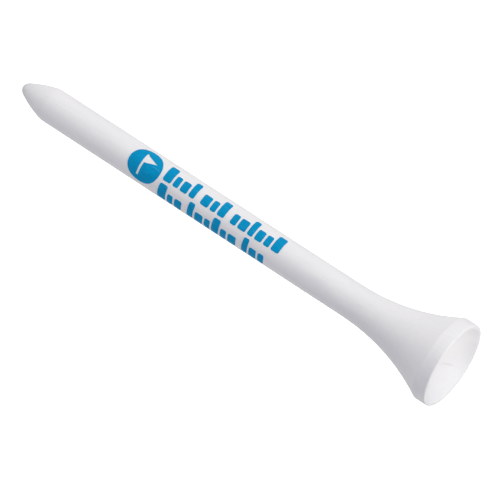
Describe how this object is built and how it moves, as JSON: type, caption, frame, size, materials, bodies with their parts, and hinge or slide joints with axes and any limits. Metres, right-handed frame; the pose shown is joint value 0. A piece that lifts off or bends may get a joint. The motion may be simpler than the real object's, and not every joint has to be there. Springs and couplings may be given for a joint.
{
  "type": "golf tee",
  "caption": "White lacquered wooden golf tee with a blunt point, a straight shank, a flared cup head and a plain blue print.",
  "frame": {"origin": "tip of the point, on the tee's axis", "axes": "+Z along the axis from the point to the cup, so the tee stands as it does in turf; -Y is the middle of the printed side, and the print reads along +Z with its top towards -X"},
  "size_m": [0.012, 0.012, 0.0698],
  "materials": {
    "birch_wood": "matte",
    "white_lacquer": "satin",
    "blue_ink": "satin"
  },
  "bodies": {
    "root": {"tee_blank": "birch_wood", "lacquer_coat": "white_lacquer", "imprint_badge": "blue_ink", "imprint_upper_row": "blue_ink", "imprint_lower_row": "blue_ink"}
  },
  "joints": []
}
